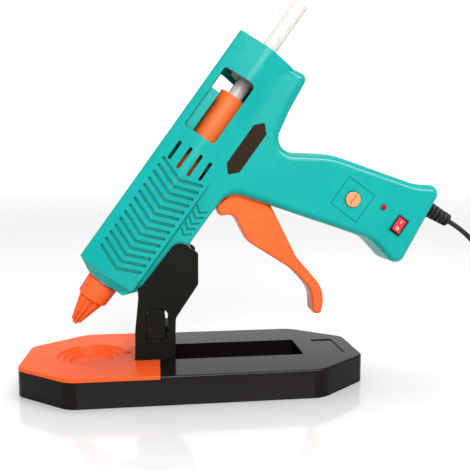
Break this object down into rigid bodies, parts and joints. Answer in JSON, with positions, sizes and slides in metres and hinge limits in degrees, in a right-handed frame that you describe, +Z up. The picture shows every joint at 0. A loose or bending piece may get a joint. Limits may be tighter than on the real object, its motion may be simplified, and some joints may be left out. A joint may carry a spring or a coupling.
{
  "type": "hot glue gun",
  "caption": "Hot glue gun with a pistol grip and squeeze trigger, held nose-down in a bracket on a long flat stand with a drip tray and a storage slot.",
  "frame": {"origin": "centre of the stand's flat underside", "axes": "+X from the nozzle end of the stand towards the grip, +Y away from the gun's left half, +Z up"},
  "size_m": [0.4101, 0.148, 0.2657],
  "materials": {
    "stand_black": "glossy moulded black plastic",
    "tray_orange": "glossy orange plastic",
    "bracket_black": "satin black plastic",
    "rubber_black": "matt rubber",
    "steel": "zinc plated",
    "housing_teal": "satin teal plastic",
    "plate_brown": "dark brown plate",
    "brass": "turned",
    "silicone_orange": "orange silicone",
    "aluminium": "die cast",
    "ceramic": "insulated heater block",
    "trigger_orange": "satin orange plastic",
    "feed_grey": "grey nylon",
    "glue": "translucent hot-melt adhesive",
    "dial_peach": "light orange plastic",
    "led_red": "red lens",
    "board_green": "printed circuit board",
    "component_blue": "potentiometer body",
    "switch_black": "black switch body",
    "rocker_red": "red rocker",
    "wire_blue": "insulated wire",
    "wire_white": "glass-sleeved wire",
    "cord_black": "black flexible cord"
  },
  "bodies": {
    "base": {"base_shell": "stand_black", "drip_tray": "tray_orange", "bottom_plate": "stand_black", "rubber_feet": "rubber_black", "base_screws": "steel", "bracket_socket": "bracket_black"},
    "latch_left": {"latch_left": "bracket_black"},
    "latch_right": {"latch_right": "bracket_black"},
    "bracket": {"support_bracket": "bracket_black"},
    "gun": {"left_housing": "housing_teal", "right_housing": "housing_teal", "housing_screws": "steel", "side_plate_left": "plate_brown", "side_plate_right": "plate_brown", "nozzle": "brass", "nozzle_ring": "steel", "nozzle_cover": "silicone_orange", "melt_chamber": "aluminium", "ptc_heater": "ceramic", "heater_clip": "steel", "thermal_fuse": "ceramic", "inlet_sleeve": "silicone_orange", "sleeve_clamp": "steel", "rear_guide": "feed_grey", "trigger_pin": "steel", "control_board": "board_green", "potentiometer": "component_blue", "indicator_led": "led_red", "switch_body": "switch_black", "mains_leads": "wire_blue", "heater_leads": "wire_white", "strain_relief": "cord_black", "power_cord": "cord_black", "cord_coil": "cord_black", "cord_tie": "cord_black", "plug_lead": "cord_black", "plug_body": "cord_black", "plug_pins": "brass"},
    "trigger": {"trigger": "trigger_orange", "trigger_spring": "steel"},
    "feed": {"feed_carriage": "feed_grey", "stick_gripper": "steel"},
    "stick": {"glue_stick": "glue"},
    "dial": {"temperature_dial": "dial_peach"},
    "rocker": {"switch_rocker": "rocker_red"}
  },
  "joints": [
    {"name": "bracket_lift", "type": "slide", "parent": "base", "child": "bracket", "axis": [0, 0, 1], "range_m": [0, 0.04]},
    {"name": "latch_left_press", "type": "slide", "parent": "base", "child": "latch_left", "axis": [0, 1, 0], "range_m": [0, 0.0012], "stiffness_N_per_m": 1500, "springref_m": -0.0004},
    {"name": "latch_right_press", "type": "slide", "parent": "base", "child": "latch_right", "axis": [0, -1, 0], "range_m": [0, 0.0012], "stiffness_N_per_m": 1500, "springref_m": -0.0004},
    {"name": "gun_undock", "type": "slide", "parent": "bracket", "child": "gun", "axis": [0.5859, 0, 0.8103], "range_m": [0, 0.05]},
    {"name": "trigger_squeeze", "type": "hinge", "parent": "gun", "child": "trigger", "pos_m": [0.027, 0, 0.137], "axis": [0, -1, 0], "range_deg": [0, 22], "stiffness_Nm_per_rad": 0.6, "springref_deg": -17.19},
    {"name": "feed_slide", "type": "slide", "parent": "gun", "child": "feed", "axis": [-0.5859, 0, -0.8103], "range_m": [0, 0.009]},
    {"name": "stick_feed", "type": "slide", "parent": "gun", "child": "stick", "axis": [-0.5859, 0, -0.8103], "range_m": [0, 0.009]},
    {"name": "dial_turn", "type": "hinge", "parent": "gun", "child": "dial", "pos_m": [0.1094, -0.018, 0.1275], "axis": [0, -1, 0], "range_deg": [-135, 135]},
    {"name": "rocker_press", "type": "hinge", "parent": "gun", "child": "rocker", "pos_m": [0.1432, -0.0174, 0.10902], "axis": [0.8103, 0, -0.5859], "range_deg": [0, 16]}
  ],
  "couplings": [
    {"joint": "feed_slide", "follows": "trigger_squeeze", "m_per_rad": 0.0201},
    {"joint": "stick_feed", "follows": "trigger_squeeze", "m_per_rad": 0.0201}
  ]
}
